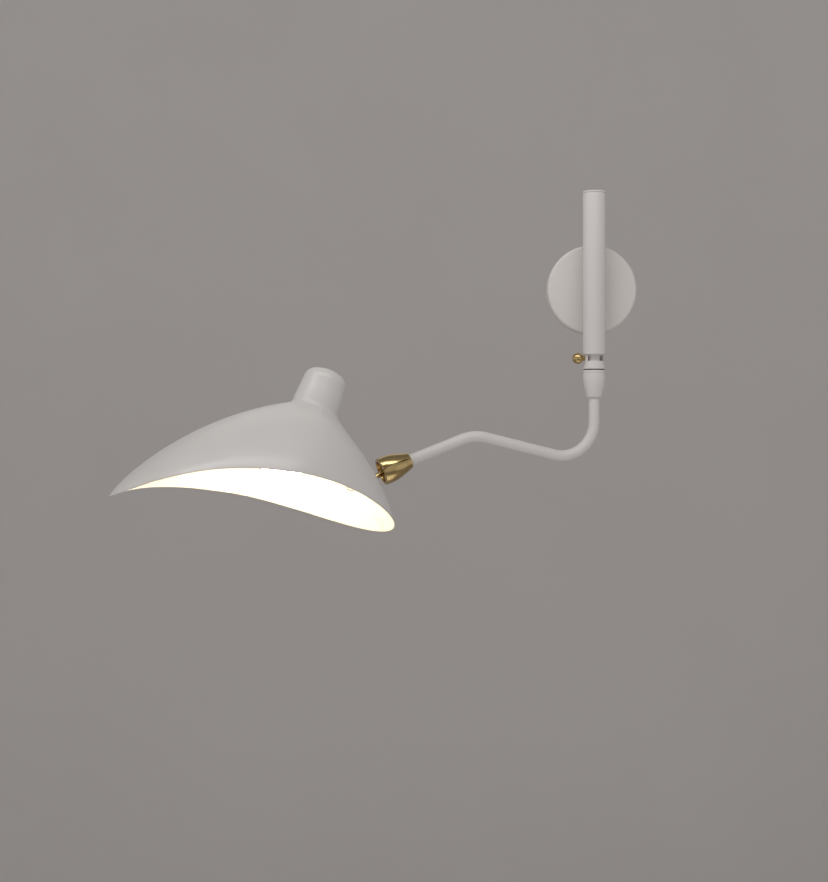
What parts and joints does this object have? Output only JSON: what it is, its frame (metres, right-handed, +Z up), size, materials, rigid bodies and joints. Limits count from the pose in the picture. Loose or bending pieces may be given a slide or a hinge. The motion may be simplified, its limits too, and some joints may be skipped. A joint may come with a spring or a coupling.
{
  "type": "swing arm wall sconce",
  "caption": "Wall lamp with an upright tube on a round wall plate, a bent arm that swings under it, and a hooded metal shade on a ball joint.",
  "frame": {"origin": "centre of the wall bracket's back face, on the wall", "axes": "+Z up, +Y into the wall, the lamp stands out towards -Y; modelled with the arm swung to -X"},
  "size_m": [0.5593, 0.2855, 0.3756],
  "materials": {
    "white_paint": "satin off-white powder coat",
    "shade_paint": "satin off-white powder coat, glossy white inside",
    "brass": "turned brass with a light lacquer",
    "steel": "zinc plated steel",
    "black_nylon": "moulded black nylon",
    "porcelain": "glazed white porcelain",
    "opal_glass": "opal white glass, lit from inside",
    "cable_sheath": "smooth insulated cable"
  },
  "bodies": {
    "wall_side": {"wall_bracket": "steel", "bridge": "steel", "bridge_screw_left": "steel", "bridge_screw_right": "steel", "earth_screw": "brass", "wall_cover": "white_paint", "stub": "white_paint", "nipple": "brass", "nipple_nut": "brass", "nipple_locknut": "brass", "terminal_block": "black_nylon", "terminal_screw_line": "brass", "terminal_screw_neutral": "brass", "upright_tube": "white_paint", "tube_cap": "white_paint", "swivel_collar": "white_paint", "bearing_bush": "brass", "cable_wall": "cable_sheath"},
    "thumb_screw": {"thumb_screw": "brass"},
    "swing_arm": {"spindle": "white_paint", "swivel_washer": "black_nylon", "ferrule": "white_paint", "arm_tube": "white_paint", "spindle_washer": "steel", "spindle_nut": "brass", "arm_nipple": "brass", "cable_arm": "cable_sheath"},
    "joint_cup": {"joint_cup": "brass", "seat_spring": "steel", "ball_seat": "black_nylon", "retaining_ring": "brass"},
    "ball_stem": {"ball_stem": "brass", "stem_washer": "black_nylon", "stem_inner_washer": "steel", "stem_nut": "brass"},
    "shade": {"shade": "shade_paint", "holder_strap": "steel", "holder_nipple": "brass", "holder_nut": "brass", "holder_locknut": "brass", "lampholder_cap": "porcelain", "lampholder_skirt": "porcelain", "contact_base": "porcelain", "thread_shell": "brass", "centre_contact": "brass", "bulb_cap": "steel", "bulb_globe": "opal_glass", "cable_shade": "cable_sheath"}
  },
  "joints": [
    {"name": "arm_swing", "type": "hinge", "parent": "wall_side", "child": "swing_arm", "pos_m": [0, -0.043, -0.0902], "axis": [0, 0, 1], "range_deg": [-6, 148]},
    {"name": "knob_turn", "type": "hinge", "parent": "wall_side", "child": "thumb_screw", "pos_m": [-0.0182, -0.043, -0.0783], "axis": [-1, 0, 0], "range_deg": [0, 540]},
    {"name": "cup_turn", "type": "hinge", "parent": "swing_arm", "child": "joint_cup", "pos_m": [-0.2041, -0.09692, -0.1908], "axis": [-0.9022, -0.2384, -0.3595], "range_deg": [-170, 170]},
    {"name": "ball_tilt", "type": "hinge", "parent": "joint_cup", "child": "ball_stem", "pos_m": [-0.22647, -0.10284, -0.19972], "axis": [-0.1636, -0.5821, 0.7965], "range_deg": [-43, 16]},
    {"name": "shade_turn", "type": "hinge", "parent": "ball_stem", "child": "shade", "pos_m": [-0.22647, -0.10284, -0.19972], "axis": [-0.7862, -0.4108, -0.4617], "range_deg": [-170, 170]}
  ]
}
